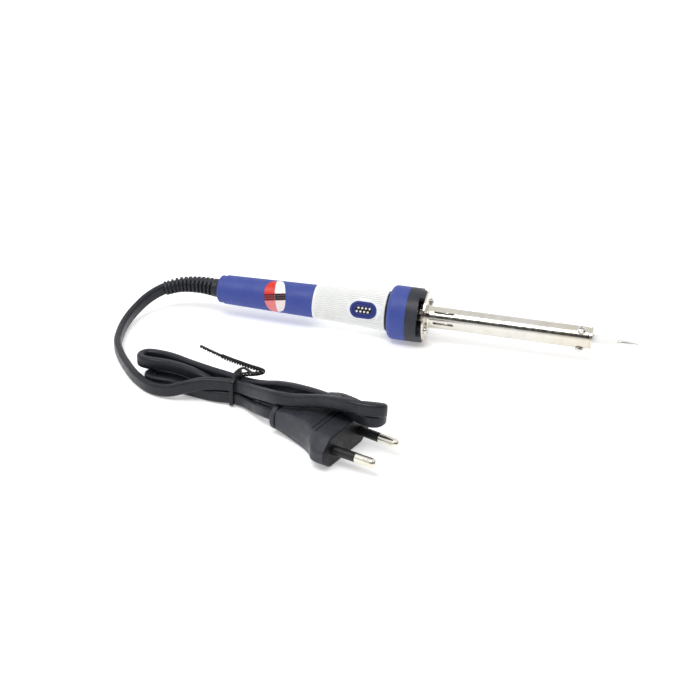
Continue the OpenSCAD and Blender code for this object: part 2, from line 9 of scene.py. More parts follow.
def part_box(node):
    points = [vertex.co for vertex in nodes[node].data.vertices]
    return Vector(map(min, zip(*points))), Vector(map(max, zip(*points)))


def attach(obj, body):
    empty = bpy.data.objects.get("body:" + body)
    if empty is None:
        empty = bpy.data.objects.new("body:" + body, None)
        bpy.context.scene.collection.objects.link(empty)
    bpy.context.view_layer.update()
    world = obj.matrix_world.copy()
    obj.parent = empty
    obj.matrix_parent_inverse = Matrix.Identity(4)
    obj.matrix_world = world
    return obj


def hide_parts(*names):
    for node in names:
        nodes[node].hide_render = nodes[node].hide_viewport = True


# Looks of a pencil soldering iron with a folded flat lead. Lengths are in metres, except in the routes, the
# plug's sections and the wire tie, which are in mm, and where a name or comment says mm.

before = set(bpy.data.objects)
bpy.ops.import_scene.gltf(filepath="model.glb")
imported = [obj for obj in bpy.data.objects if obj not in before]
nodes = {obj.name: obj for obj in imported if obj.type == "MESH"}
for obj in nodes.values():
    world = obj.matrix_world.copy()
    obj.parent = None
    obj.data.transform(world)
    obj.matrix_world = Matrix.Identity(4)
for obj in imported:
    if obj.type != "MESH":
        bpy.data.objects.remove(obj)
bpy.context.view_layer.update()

MM = 0.001
UP = np.array([0.0, 0.0, 1.0])

# Stations and sizes of the CAD frame that the pieces here fit
axis_z = sum(corner.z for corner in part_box("barrel")) / 2
grip_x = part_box("front_grip")[0].x
neck_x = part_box("front_grip")[1].x
grip_front_r = (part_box("front_grip")[1].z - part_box("front_grip")[0].z) / 2
grip_back_r = 8.15 * MM
grip_bore_r = 7.05 * MM
button_x = sum(corner.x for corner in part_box("button_bezel")) / 2
button_angle = math.radians(19)
label_x = sum(corner.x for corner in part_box("handle_label")) / 2
cord_width = 5.6 * MM
cord_thick = 3.4 * MM
cord_edge_r = 1.25 * MM


# ---- camera, light and floor ----

def make_camera():
    azimuth = math.radians(-13.776)
    elevation = math.radians(27.391)
    roll = math.radians(1.652)
    place = (0.0899, -0.5083, 0.2603)
    ahead = Vector((
        math.sin(azimuth) * math.cos(elevation),
        math.cos(azimuth) * math.cos(elevation),
        -math.sin(elevation),
    ))
    level = Vector((math.cos(azimuth), -math.sin(azimuth), 0))
    above = level.cross(ahead)
    right = level * math.cos(roll) + above * math.sin(roll)
    up = -level * math.sin(roll) + above * math.cos(roll)
    data = bpy.data.cameras.new("camera")
    data.lens = 61.71
    data.sensor_width = 36
    data.clip_start = 0.01
    camera = bpy.data.objects.new("camera", data)
    turn = Matrix((right, up, -ahead)).transposed().to_4x4()
    camera.matrix_world = Matrix.Translation(place) @ turn
    bpy.context.scene.collection.objects.link(camera)
    bpy.context.scene.camera = camera


def make_panel(name, middle, facing, width, height, material):
    """Flat rectangle in the studio, turned towards the point facing."""
    mesh = bpy.data.meshes.new(name)
    corners = [(x * width / 2, y * height / 2, 0) for x, y in ((-1, -1), (1, -1), (1, 1), (-1, 1))]
    mesh.from_pydata(corners, [], [(0, 1, 2, 3)])
    panel = bpy.data.objects.new(name, mesh)
    towards = Vector(facing) - Vector(middle)
    panel.matrix_world = Matrix.Translation(middle) @ towards.to_track_quat("Z", "Y").to_matrix().to_4x4()
    mesh.materials.append(material)
    bpy.context.scene.collection.objects.link(panel)
    return panel


def make_lamp(name, middle, facing, size, power):
    """Round soft lamp, turned towards the point facing."""
    data = bpy.data.lights.new(name, "AREA")
    data.shape = "DISK"
    data.size = size
    data.energy = power
    lamp = bpy.data.objects.new(name, data)
    towards = Vector(facing) - Vector(middle)
    lamp.matrix_world = Matrix.Translation(middle) @ towards.to_track_quat("-Z", "Y").to_matrix().to_4x4()
    bpy.context.scene.collection.objects.link(lamp)


def make_studio():
    """White surroundings, a pale floor, one lamp, and two dark cards that show only in the reflections."""
    scene = bpy.context.scene
    scene.view_settings.view_transform = "Standard"
    scene.world = bpy.data.worlds.new("studio")
    scene.world.use_nodes = True
    background = scene.world.node_tree.nodes["Background"]
    background.inputs["Color"].default_value = (1, 1, 1, 1)
    background.inputs["Strength"].default_value = 0.93
    table = plain("light_table", (0.92, 0.92, 0.92), 0.8, 0.33)
    floor = make_panel("floor", (0, 0, -0.0001), (0, 0, 1), 8, 8, table)
    floor.visible_shadow = False
    black_card = plain("card", (0.015, 0.015, 0.015), 0.9)
    front_card = make_panel("front_card", (0.1, -1.3, 0.95), (0.1, 0, 0), 2.2, 1.2, black_card)
    side_card = make_panel("side_card", (1.1, -0.45, 0.4), (0, -0.1, 0), 1.3, 0.8, black_card)
    front_card.visible_camera = side_card.visible_camera = False
    make_lamp("overhead", (-0.30, -0.75, 1.45), (-0.02, -0.04, 0), 0.9, 15)


# ---- materials ----

class Surface:
    """One procedural material. Patterns are laid in object coordinates, in millimetres."""

    def __init__(self, name, colour, roughness, metallic=0.0):
        self.material = bpy.data.materials.new(name)
        self.material.use_nodes = True
        self.tree = self.material.node_tree
        self.shader = self.tree.nodes["Principled BSDF"]
        self.colour = (*colour, 1)
        self.set("Base Color", self.colour)
        self.set("Roughness", roughness)
        self.set("Metallic", metallic)
        self.normal = None
        here = self.node("ShaderNodeTexCoord").outputs["Object"]
        self.place = self.vector("MULTIPLY", here, (1000, 1000, 1000))

    def node(self, kind, **settings):
        made = self.tree.nodes.new(kind)
        for key, value in settings.items():
            setattr(made, key, value)
        return made

    def feed(self, socket, value):
        """Links an output to the socket, or sets a plain value on it."""
        if isinstance(value, bpy.types.NodeSocket):
            self.tree.links.new(value, socket)
        else:
            socket.default_value = value

    def set(self, name, value):
        self.feed(self.shader.inputs[name], value)
        return self

    def vector(self, operation, a, b):
        made = self.node("ShaderNodeVectorMath", operation=operation)
        self.feed(made.inputs[0], a)
        self.feed(made.inputs[1], b)
        return made.outputs["Value" if operation in ("DOT_PRODUCT", "DISTANCE", "LENGTH") else "Vector"]

    def math(self, operation, a, b=0.0):
        made = self.node("ShaderNodeMath", operation=operation)
        self.feed(made.inputs[0], a)
        self.feed(made.inputs[1], b)
        return made.outputs[0]

    def along(self, direction, origin=(0, 0, 0)):
        """Distance in mm along a direction from a point given in metres."""
        start = tuple(1000 * c for c in origin)
        return self.vector("DOT_PRODUCT", self.vector("SUBTRACT", self.place, start), direction)

    def noise(self, size, detail=3, stretch=(1, 1, 1), distortion=0.0):
        """Noise from 0 to 1 with features of about size mm, longer along a stretched axis."""
        made = self.node("ShaderNodeTexNoise")
        self.feed(made.inputs["Vector"], self.vector("DIVIDE", self.place, stretch))
        made.inputs["Scale"].default_value = 1 / size
        made.inputs["Detail"].default_value = detail
        made.inputs["Distortion"].default_value = distortion
        return made.outputs["Fac"]

    def waves(self, value, pitch):
        """Sine wave from 0 to 1 along a value in mm."""
        turn = self.math("MULTIPLY", value, 2 * math.pi / pitch)
        return self.math("MULTIPLY_ADD", self.math("SINE", turn), 0.5)

    def span(self, value, low, high, to_low=0.0, to_high=1.0):
        """Value from low to high becomes to_low to to_high, and is held outside."""
        made = self.node("ShaderNodeMapRange", interpolation_type="SMOOTHSTEP")
        self.feed(made.inputs["Value"], value)
        for key, number in (("From Min", low), ("From Max", high), ("To Min", to_low), ("To Max", to_high)):
            made.inputs[key].default_value = number
        return made.outputs["Result"]

    def mix(self, factor, a, b):
        made = self.node("ShaderNodeMix", data_type="RGBA")
        self.feed(made.inputs["Factor"], factor)
        self.feed(made.inputs["A"], (*a, 1) if isinstance(a, tuple) and len(a) == 3 else a)
        self.feed(made.inputs["B"], (*b, 1) if isinstance(b, tuple) and len(b) == 3 else b)
        return made.outputs["Result"]

    def tint(self, factor, other):
        """Blends the base colour towards another where factor is 1."""
        self.colour = self.mix(factor, self.colour, other)
        return self.set("Base Color", self.colour)

    def rough(self, value, low, high):
        """Roughness from low to high as value goes from 0.3 to 0.7."""
        return self.set("Roughness", self.span(value, 0.3, 0.7, low, high))

    def round_edges(self, radius_mm):
        """Softens the look of hard edges, and returns a mask that is 1 on them."""
        bevel = self.node("ShaderNodeBevel", samples=4)
        bevel.inputs["Radius"].default_value = radius_mm * MM
        self.normal = bevel.outputs["Normal"]
        flat = self.node("ShaderNodeNewGeometry").outputs["Normal"]
        facing = self.vector("DOT_PRODUCT", self.normal, flat)
        return self.span(self.math("SUBTRACT", 1.0, facing), 0.01, 0.12)

    def bump(self, height, depth_mm):
        made = self.node("ShaderNodeBump")
        made.inputs["Distance"].default_value = depth_mm * MM
        self.feed(made.inputs["Height"], height)
        if self.normal is not None:
            self.feed(made.inputs["Normal"], self.normal)
        self.normal = made.outputs["Normal"]
        return self.set("Normal", self.normal)


def plain(name, colour, roughness, glow=0.0):
    """Paper or card of the studio, lit a little from behind if it glows."""
    surface = Surface(name, colour, roughness)
    surface.set("Emission Color", (1, 1, 1, 1))
    surface.set("Emission Strength", glow)
    surface.bump(surface.noise(4), 0.02)
    return surface.material


def moulded(name, colour, light, grain_mm, roughness, edge_highlight=0.35, edge_mm=0.25):
    """Moulded plastic with a fine grain and faint blotches; its edges are painted a little lighter in
    patches, as a painted edge highlight.
    """
    s = Surface(name, colour, roughness)
    s.set("Specular IOR Level", 0.32)
    edge = s.round_edges(edge_mm)
    s.tint(s.span(s.noise(9, 4), 0.35, 0.7, 0, 0.35), light)
    # Painted highlight: the edges are painted lighter in noisy patches.
    s.tint(s.math("MULTIPLY", edge, s.span(s.noise(1.2, 5), 0.4, 0.65, 0, edge_highlight)), light)
    s.rough(s.noise(3.5, 6), roughness - 0.07, roughness + 0.08)
    s.bump(s.noise(grain_mm, 3), 0.035)
    s.bump(s.noise(6, 2), 0.06)
    return s.material


def blue_plastic():
    return moulded("blue_plastic", (0.047, 0.073, 0.315), (0.066, 0.100, 0.370), 0.35, 0.5)


def bezel_blue():
    """The bezel's blue is a little deeper than the handle's."""
    return moulded("bezel_blue", (0.032, 0.046, 0.230), (0.055, 0.075, 0.300), 0.25, 0.45)


def white_plastic():
    s = Surface("white_plastic", (0.92, 0.925, 0.905), 0.5)
    s.set("Subsurface Weight", 0.12)
    s.set("Subsurface Radius", (1.0, 0.9, 0.8))
    s.set("Subsurface Scale", 0.0012)
    s.tint(s.span(s.noise(7, 5), 0.45, 0.75, 0, 0.5), (0.83, 0.83, 0.79))
    # Painted shade: the grooves between the grip's ridges are painted grey-green, darker than the ridges.
    groove = s.node("ShaderNodeAttribute", attribute_name="groove").outputs["Fac"]
    s.tint(s.math("MULTIPLY", groove, 0.6), (0.50, 0.52, 0.51))
    s.rough(s.noise(2.5, 6), 0.42, 0.58)
    s.bump(s.noise(0.22, 3), 0.02)
    return s.material


def label_film():
    """Oval red and white sticker: four fields with a dark band across them, and no lettering."""
    s = Surface("label_film", (0.72, 0.040, 0.025), 0.3)
    facing, tilt = math.radians(24), math.radians(9)
    level = (math.cos(tilt), math.sin(tilt) * math.sin(facing), math.sin(tilt) * math.cos(facing))
    rising = (-math.sin(tilt), math.cos(tilt) * math.sin(facing), math.cos(tilt) * math.cos(facing))
    middle = (label_x, 0, axis_z)
    ragged = s.math("MULTIPLY", s.math("SUBTRACT", s.noise(1.3, 3), 0.5), 0.5)
    run = s.math("ADD", s.along(level, middle), ragged)
    rise = s.math("ADD", s.along(rising, middle), ragged)
    right = s.span(run, -0.1, 0.1)
    upper = s.span(rise, 1.2, 1.4)
    lower = s.span(rise, -1.9, -2.1)
    s.tint(s.math("MULTIPLY", upper, right), (0.86, 0.84, 0.83))
    s.tint(lower, s.mix(right, (0.80, 0.22, 0.22), (0.86, 0.76, 0.75)))
    band = s.math("SUBTRACT", 1.0, s.math("ADD", upper, lower))
    s.tint(band, s.mix(right, (0.190, 0.012, 0.020), (0.030, 0.020, 0.026)))
    stripe = s.span(s.waves(s.along(rising, middle), 1.1), 0.86, 0.96, 0, 0.22)
    s.tint(s.math("MULTIPLY", band, stripe), (0.62, 0.50, 0.50))
    # Painted shadow: a dark line is painted where the left and right fields meet.
    s.tint(s.span(s.math("ABSOLUTE", run), 0.16, 0.10, 0, 0.7), (0.30, 0.22, 0.23))
    s.tint(s.span(s.noise(0.5, 4), 0.6, 0.8, 0, 0.2), (0.75, 0.45, 0.43))
    s.set("Specular IOR Level", 0.3)
    s.rough(s.noise(2, 5), 0.22, 0.42)
    s.bump(s.noise(0.8, 4), 0.02)
    return s.material


def heat_plastic():
    return moulded("black_bakelite", (0.026, 0.028, 0.038), (0.060, 0.063, 0.076), 0.3, 0.42, 0.5)


def black_plastic():
    return moulded("black_plastic", (0.012, 0.012, 0.018), (0.040, 0.040, 0.050), 0.25, 0.4)


def metal(name, colour, shade, low, high, lines=(1, 1, 1), line_mm=0.1, depth_mm=0.004, edge_mm=0.12):
    """Metal with fine tool lines stretched along one way, smudges and slightly rounded edges."""
    s = Surface(name, colour, low, 1.0)
    s.round_edges(edge_mm)
    s.tint(s.span(s.noise(5, 5), 0.4, 0.75, 0, 0.6), shade)
    s.rough(s.noise(2.2, 6), low, high)
    s.bump(s.noise(line_mm, 2, lines), depth_mm)
    return s


def nickel():
    """Bright plating, straw-tinted by heat near the root and the mouth of the barrel."""
    s = metal("nickel", (0.71, 0.69, 0.64), (0.60, 0.57, 0.51), 0.13, 0.24, (0.6, 30, 30), 0.12, 0.003)
    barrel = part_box("barrel")
    from_root = s.along((1, 0, 0), (barrel[0].x, 0, 0))
    from_mouth = s.along((-1, 0, 0), (barrel[1].x, 0, 0))
    heat = s.math("ADD", s.span(from_root, 26, 6, 0, 0.35), s.span(from_mouth, 34, 4, 0, 0.5))
    s.tint(s.math("MULTIPLY", heat, s.noise(8, 4)), (0.66, 0.56, 0.38))
    return s.material


def zinc_screw():
    s = metal("zinc_screw", (0.74, 0.73, 0.70), (0.52, 0.50, 0.46), 0.2, 0.38, line_mm=0.3, depth_mm=0.012)
    return s.material


def bit_steel():
    s = metal("bit_steel", (0.72, 0.70, 0.67), (0.42, 0.40, 0.38), 0.22, 0.4, (0.5, 20, 20), 0.15, 0.006)
    tinned = s.span(s.along((1, 0, 0), (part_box("bit")[1].x, 0, 0)), -3.2, -2.2)
    s.tint(tinned, (0.80, 0.80, 0.79))
    return s.material


def ceramic():
    s = Surface("ceramic", (0.92, 0.915, 0.90), 0.55)
    edge = s.round_edges(0.15)
    s.tint(s.span(s.noise(3, 5), 0.5, 0.75, 0, 0.5), (0.85, 0.83, 0.80))
    s.tint(s.math("MULTIPLY", edge, 0.4), (0.62, 0.60, 0.56))
    s.rough(s.noise(1.5, 5), 0.52, 0.72)
    s.bump(s.noise(0.3, 4), 0.02)
    return s.material


def resistance_wire():
    bright, dull = (0.42, 0.40, 0.37), (0.22, 0.20, 0.19)
    return metal("resistance_wire", bright, dull, 0.35, 0.55, line_mm=0.2, depth_mm=0.01).material


def mica():
    """Layered mineral sheet with bright flakes."""
    s = Surface("mica", (0.42, 0.33, 0.20), 0.35)
    flakes = s.noise(2.4, 5, (2, 1, 1), 1.2)
    s.tint(s.span(flakes, 0.4, 0.65), (0.62, 0.54, 0.38))
    s.rough(flakes, 0.2, 0.45)
    s.set("Coat Weight", 0.4)
    s.bump(flakes, 0.06)
    return s.material


def glass_fibre():
    """Braided sleeving: two sets of crossing threads."""
    s = Surface("glass_fibre", (0.78, 0.75, 0.66), 0.7)
    across = s.math("ADD", s.along((0, 1, 0)), s.along((0, 0, 1)))
    over = s.waves(s.math("ADD", s.along((1, 0, 0)), across), 0.5)
    under = s.waves(s.math("SUBTRACT", s.along((1, 0, 0)), across), 0.5)
    braid = s.math("MAXIMUM", over, under)
    s.tint(s.span(braid, 0.2, 0.9, 0.5, 0), (0.50, 0.46, 0.38))
    s.rough(s.noise(1, 4), 0.6, 0.8)
    s.bump(braid, 0.08)
    return s.material


def inlay_rubber():
    return moulded("inlay_rubber", (0.010, 0.010, 0.011), (0.030, 0.030, 0.032), 0.15, 0.6, 0.2, 0.1)


def nib_white():
    return moulded("nib_white", (0.80, 0.80, 0.77), (0.90, 0.90, 0.88), 0.2, 0.35, 0.2, 0.15)


def pcb():
    """Green solder mask over copper tracks and the glass weave of the board."""
    s = Surface("pcb", (0.020, 0.120, 0.045), 0.3)
    s.round_edges(0.1)
    tracks = s.span(s.waves(s.math("ADD", s.along((0, 1, 0)), s.noise(6, 0)), 2.2), 0.45, 0.55)
    s.tint(tracks, (0.035, 0.190, 0.075))
    s.set("Coat Weight", 0.5)
    s.rough(s.noise(1.5, 4), 0.22, 0.38)
    s.bump(tracks, 0.03)
    s.bump(s.waves(s.along((1, 0, 0)), 0.6), 0.01)
    return s.material


def tinned_brass():
    s = metal("tinned_brass", (0.76, 0.73, 0.66), (0.62, 0.52, 0.34), 0.25, 0.42, (8, 1, 1), 0.3, 0.008)
    return s.material


def soft_vinyl(name, colour, light, low, high, depth_mm=0.012, gloss=0.3):
    """Extruded PVC: satin, with faint drawn streaks and scuffs."""
    s = Surface(name, colour, low)
    s.set("Specular IOR Level", gloss)
    s.tint(s.span(s.noise(5, 6), 0.45, 0.8, 0, 0.6), light)
    s.tint(s.span(s.noise(0.7, 7, (1, 1, 1), 0.6), 0.62, 0.8, 0, 0.5), light)
    s.rough(s.noise(2.2, 6), low, high)
    s.bump(s.noise(0.3, 4), depth_mm)
    s.bump(s.noise(3.5, 2), 0.08)
    return s


def pvc_black():
    return soft_vinyl("pvc_black", (0.0115, 0.0125, 0.0180), (0.026, 0.028, 0.036), 0.27, 0.42).material


def plug_vinyl():
    """The plug's moulded PVC is duller than the cord; its face, where the pins stand, is painted darker as
    painted shade.
    """
    s = soft_vinyl("plug_vinyl", (0.034, 0.037, 0.046), (0.058, 0.061, 0.070), 0.38, 0.52, 0.03, 0.3)
    # Painted shade: the face that the pins stand on is painted near black.
    out = plug_turn.to_3x3() @ Vector((1, 0, 0))
    s.tint(s.span(s.along(tuple(out), plug_face), -0.5, -0.1), (0.003, 0.003, 0.005))
    return s.material


def boot_vinyl():
    return soft_vinyl("boot_vinyl", (0.017, 0.019, 0.026), (0.036, 0.038, 0.046), 0.36, 0.50, 0.03).material


def pvc_brown():
    return soft_vinyl("pvc_brown", (0.120, 0.045, 0.018), (0.180, 0.080, 0.040), 0.3, 0.42).material


def pvc_blue():
    return soft_vinyl("pvc_blue", (0.020, 0.110, 0.420), (0.060, 0.180, 0.500), 0.3, 0.42).material


def pin_metal():
    s = metal("pin_metal", (0.82, 0.79, 0.71), (0.66, 0.60, 0.46), 0.14, 0.26, line_mm=0.25, depth_mm=0.006)
    return s.material


def neck_rubber():
    return moulded("neck_rubber", (0.005, 0.005, 0.007), (0.014, 0.014, 0.017), 0.2, 0.6, 0.2, 0.1)


def sleeve_plastic():
    return moulded("sleeve_plastic", (0.010, 0.010, 0.011), (0.030, 0.030, 0.032), 0.25, 0.33, 0.3, 0.1)


# ---- meshes ----

def piece(name, points, faces, material, slot, crease=40):
    """New mesh object in the row frame that rides on the iron's own body."""
    mesh = bpy.data.meshes.new(name)
    mesh.from_pydata([tuple(p) for p in points], [], [tuple(f) for f in faces])
    shell = bmesh.new()
    shell.from_mesh(mesh)
    bmesh.ops.recalc_face_normals(shell, faces=shell.faces)
    shell.to_mesh(mesh)
    shell.free()
    mesh.polygons.foreach_set("use_smooth", [True] * len(mesh.polygons))
    mesh.set_sharp_from_angle(angle=math.radians(crease))
    mesh.materials.append(material)
    mesh.update()
    made = bpy.data.objects.new(name, mesh)
    bpy.context.scene.collection.objects.link(made)
    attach(made, "iron")
    return made


def skin(rings, closed=True, looped=False):
    """Points and faces of a surface through rings of points. closed caps its ends; looped joins them."""
    rings = np.asarray(rings, float)
    count, sides = rings.shape[:2]
    faces = []
    for i in range(count if looped else count - 1):
        here, ahead = i * sides, (i + 1) % count * sides
        for k in range(sides):
            turn = (k + 1) % sides
            faces.append((here + k, here + turn, ahead + turn, ahead + k))
    if closed and not looped:
        faces.append(tuple(range(sides - 1, -1, -1)))
        faces.append(tuple(range((count - 1) * sides, count * sides)))
    return rings.reshape(-1, 3), faces


def join(parts):
    """Points and faces of several (points, faces) surfaces as one."""
    points, faces, start = [], [], 0
    for part_points, part_faces in parts:
        points.extend(part_points)
        faces.extend(tuple(start + i for i in face) for face in part_faces)
        start += len(part_points)
    return points, faces


def smooth_path(points, steps):
    """Centripetal Catmull-Rom curve through points, with steps pieces between each pair."""
    points = np.asarray(points, float)
    padded = np.vstack([2 * points[0] - points[1], points, 2 * points[-1] - points[-2]])
    path = []
    for a, b, c, d in zip(padded, padded[1:], padded[2:], padded[3:]):
        t1 = math.sqrt(np.linalg.norm(b - a))
        t2 = t1 + math.sqrt(np.linalg.norm(c - b))
        t3 = t2 + math.sqrt(np.linalg.norm(d - c))
        for step in range(steps):
            t = t1 + (t2 - t1) * step / steps
            near = a + (b - a) * t / t1
            middle = b + (c - b) * (t - t1) / (t2 - t1)
            far = c + (d - c) * (t - t2) / (t3 - t2)
            before = near + (middle - near) * t / t2
            after = middle + (far - middle) * (t - t1) / (t3 - t1)
            path.append(before + (after - before) * (t - t1) / (t2 - t1))
    path.append(points[-1])
    return np.array(path)


def even_path(path, spacing):
    """The same line with points at an even spacing, and its length."""
    steps = np.linalg.norm(np.diff(path, axis=0), axis=1)
    reach = np.concatenate([[0], np.cumsum(steps)])
    wanted = np.linspace(0, reach[-1], round(reach[-1] / spacing) + 1)
    return np.stack([np.interp(wanted, reach, path[:, i]) for i in range(3)], 1), reach[-1]


def headings(path, looped=False):
    """Unit directions along a path, at each of its points."""
    if looped:
        ahead = np.roll(path, -1, axis=0) - np.roll(path, 1, axis=0)
    else:
        ahead = np.gradient(path, axis=0)
    return ahead / np.linalg.norm(ahead, axis=1)[:, None]


def sections(path, outline_at):
    """Rings along a path. outline_at(i) gives (across, up) points; across is level and up stands on edge."""
    rings = []
    for i, (middle, ahead) in enumerate(zip(path, headings(path))):
        across = np.cross(ahead, UP)
        across /= np.linalg.norm(across)
        above = np.cross(across, ahead)
        outline = np.asarray(outline_at(i))
        rings.append(middle + outline[:, :1] * across + outline[:, 1:] * above)
    return rings


def soft_rectangle(width, height, radius, per_corner=6):
    """Outline of a rectangle with round corners."""
    outline = []
    for corner, (side, level) in enumerate(((1, 1), (-1, 1), (-1, -1), (1, -1))):
        for step in range(per_corner + 1):
            angle = math.radians(90 * (corner + step / per_corner))
            outline.append((
                side * (width / 2 - radius) + radius * math.cos(angle),
                level * (height / 2 - radius) + radius * math.sin(angle),
            ))
    return outline


def lathe(profile, sides):
    """Rings about the X axis at height axis_z, from (x, radius) points."""
    angles = np.linspace(0, 2 * math.pi, sides, endpoint=False)
    return [[(x, -r * math.cos(a), axis_z + r * math.sin(a)) for a in angles] for x, r in profile]


def arc(centre, radius, start, end, steps, height):
    """Points in mm on a level arc from one angle to another, in degrees."""
    angles = [math.radians(start + (end - start) * i / steps) for i in range(steps + 1)]
    return [(centre[0] + radius * math.cos(a), centre[1] + radius * math.sin(a), height) for a in angles]


# ---- cord ----

LOWER, UPPER = 2.9, 8.6      # heights in mm of the hank's two layers on the floor
OVER, TOP = 16.75, 22.45     # and of the same layers where they lie on the plug

# Points of the cord's middle line in mm, from the handle to the plug
relief_route = [(-101.4, 0, 13), (-112, 0, 13.5), (-121.5, -1.4, 12.9), (-129, -4.6, 11.2)]
free_route = [
    (-129, -4.6, 11.2), (-134.6, -11.3, 8.7), (-138, -21, 5.6), (-138.5, -32, 3.7), (-136.5, -43, LOWER),
    (-133, -53, LOWER), (-127, -62.5, LOWER), (-119.5, -71.8, LOWER), (-111.5, -80, LOWER),
    (-102, -86.2, LOWER), (-93.5, -88, 4), (-86, -87.2, 6.4), (-78.5, -85.6, 8.5), (-70, -84.4, 9),
]
hank_route = [
    (-62.5, -84.9, 9.3), (-55, -89.8, 11.2), (-47.5, -95.6, 13.8), (-40.5, -100, 15.8), (-34, -101.2, 16.4),
    (-27.5, -101.8, 17.5), (-21, -103.4, 19.3), (-14.5, -106.2, 21.2), (-8, -108.6, TOP), (-2, -109.2, TOP),
    (2, -109.2, TOP), (5, -108.4, 22.2), (5.7, -106.8, 21.4), (4.8, -105.2, 20.6), (2, -104.6, 20.2),
    (-2, -104.8, 20.1), (-8, -104.6, 19.6), (-14, -102.6, 18.8), (-21.5, -98.6, 18.2), (-28.5, -95.4, 17.4),
    (-36.5, -92.2, 16.2), (-43, -89.2, 14.4), (-50, -86, 11.8), (-56.5, -83, 9.9),
    (-63, -80.6, 9.2), (-70, -78.5, 9.1), (-78, -75.8, 8.7), (-89, -72.2, UPPER), (-100, -68.4, UPPER),
    *arc((-109.4, -71.2), 3.6, 85, 275, 4, UPPER),
    (-99, -75, UPPER), (-89, -77.2, UPPER), (-80, -79.9, 7.4), (-71, -81.1, 4.4), (-62, -81.6, 3.5),
    (-52, -84, 3.1), (-44, -86, 3.8), (-36, -87.8, 6), (-28, -89.8, 10.2), (-21, -92.6, 14.2),
    (-17.5, -95.4, 16.3), (-13, -99.4, OVER), (-7, -104.2, OVER), (-2.5, -107.2, OVER),
    *arc((1.4, -104.6), 3.6, -88, 88, 4, OVER),
    (-3, -100.4, 16.7), (-10, -96.6, 16.4), (-16, -92.2, 14.8), (-22, -88.2, 11.5), (-30, -84.3, 7),
    (-39, -81.2, 4), (-51, -78.6, 3), (-63, -77.7, 3.4),
    (-75, -76.4, 3), (-87, -74.4, LOWER), (-96, -73.4, LOWER),
    *arc((-103.8, -76.8), 3.5, 85, 265, 4, LOWER),
    (-95, -80.7, LOWER), (-85, -82.9, LOWER), (-74, -84.6, 3), (-65, -84.9, 3.5),
]
lead_route = [
    (-59.5, -86.2, 3.4), (-54, -90.2, 4.2), (-49.5, -94.4, 5.7), (-45.3, -97.4, 6.7), (-41.3, -98.7, 6.85),
]


def make_cord(material):
    """Flat two-core lead that lies on its edge, in one run from the boot to the plug."""
    start = relief_route[-2:-1]
    path, length = even_path(smooth_path(start + free_route + hank_route + lead_route, 12) * MM, 0.9 * MM)
    outline = soft_rectangle(cord_thick, cord_width, cord_edge_r)
    made = piece("mains_cord", *skin(sections(path, lambda i: outline)), material, "pvc_black")
    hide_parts("cord_tube", "cord_hank", "plug_lead")
    return made, path, length


def make_boot(material):
    """Ribbed strain relief: rings joined by three webs, tapering along the cord's first bend."""
    path, length = even_path(smooth_path(relief_route, 40) * MM, 0.14 * MM)
    angles = np.linspace(0, 2 * math.pi, 90, endpoint=False)
    collar, pitch, plain_end = 3.0 * MM, 2.1 * MM, 1.4 * MM
    flare_high, flare_reach = 0.35 * MM, 1.2 * MM
    round_deep, round_reach = 0.45 * MM, 0.5 * MM
    handle_r_mm, narrowing_mm = 4.6, 1.15
    slot_mm, web_slot_mm = 1.3, 0.12
    first_web = math.radians(114)
    # 1 on the three webs, 0 between them
    web = np.clip((0.5 + 0.5 * np.cos(3 * (angles - first_web)) - 0.86) / 0.08, 0, 1)

    def outline_at(i):
        s = i / (len(path) - 1) * length
        taper = (handle_r_mm - narrowing_mm * s / length) * MM
        flare = flare_high * max(0.0, 1 - s / flare_reach) ** 2
        phase = (s - collar) / pitch
        slot = 0.0
        if collar < s < length - plain_end:
            slot = np.clip((0.5 - 0.5 * math.cos(2 * math.pi * phase) - 0.42) / 0.3, 0, 1)
        dip = slot * (slot_mm * (1 - web) + web_slot_mm * web) * MM
        tail = max(0.0, (s - length + round_reach) / round_reach)
        r = taper + flare - dip - round_deep * tail ** 2
        return np.stack([r * np.cos(angles), r * np.sin(angles)], 1)

    made = piece("cord_boot", *skin(sections(path, outline_at)), material, "pvc_black", 50)
    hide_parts("strain_relief")
    return made


# ---- plug ----

plug_face = (-8 * MM, -109.5 * MM, 6.85 * MM)
plug_turn = Matrix.Translation(plug_face) @ Matrix.Rotation(math.radians(-18), 4, "Z")
plug_edge_r = 1.1        # mm, rounding of the body's long edges
face_edge_r = 1          # mm, rounding round the face


def at_plug(points):
    """Points from the plug's own frame, X out of its face, to the row frame."""
    turn = np.array(plug_turn)
    return np.asarray(points) @ turn[:3, :3].T + turn[:3, 3]


def make_plug(material):
    """Flat moulded body with bevelled sides, two grooves and a ribbed patch on each broad side."""
    # Distance from the face, half width, half width of the flat top, half thickness
    stations = np.array([
        (-32, 5.0, 4.1, 4.6), (-28, 5.4, 4.5, 5.2), (-24, 6.1, 5.1, 5.9), (-19.5, 7.3, 6, 6.5),
        (-15.5, 8.9, 7.2, 6.85), (-12, 11, 9.2, 6.85), (-9, 14, 10.8, 6.85), (-6.5, 16.8, 11.8, 6.85),
        (-4, 17.65, 12, 6.85), (-1, 17.65, 12, 6.85),
    ])
    spaced = smooth_path(stations, 14)
    along = np.linspace(stations[0, 0], stations[-1, 0], 166)
    half_w, half_flat, half_t = (np.interp(along, spaced[:, 0], spaced[:, i]) for i in (1, 2, 3))
    rings = []
    for x, wide, flat, thick in zip(along, half_w, half_flat, half_t):
        rings.append(plug_ring(x, wide, flat, thick, 1.0))
    for angle in np.radians(np.linspace(15, 90, 6)):
        shrink = 0.9 * (1 - math.cos(angle))
        x = face_edge_r * (math.sin(angle) - 1)
        rings.append(plug_ring(x, half_w[-1] - shrink, half_flat[-1] - shrink, half_t[-1] - shrink, 0.0))
    made = piece("plug_shell", *skin(at_plug(np.array(rings) * MM)), material, "pvc_black")
    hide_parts("plug_body")
    return made


def towards(start, end, reach):
    """Point at the distance reach from start on the way to end."""
    return start + (end - start) / np.linalg.norm(end - start) * reach


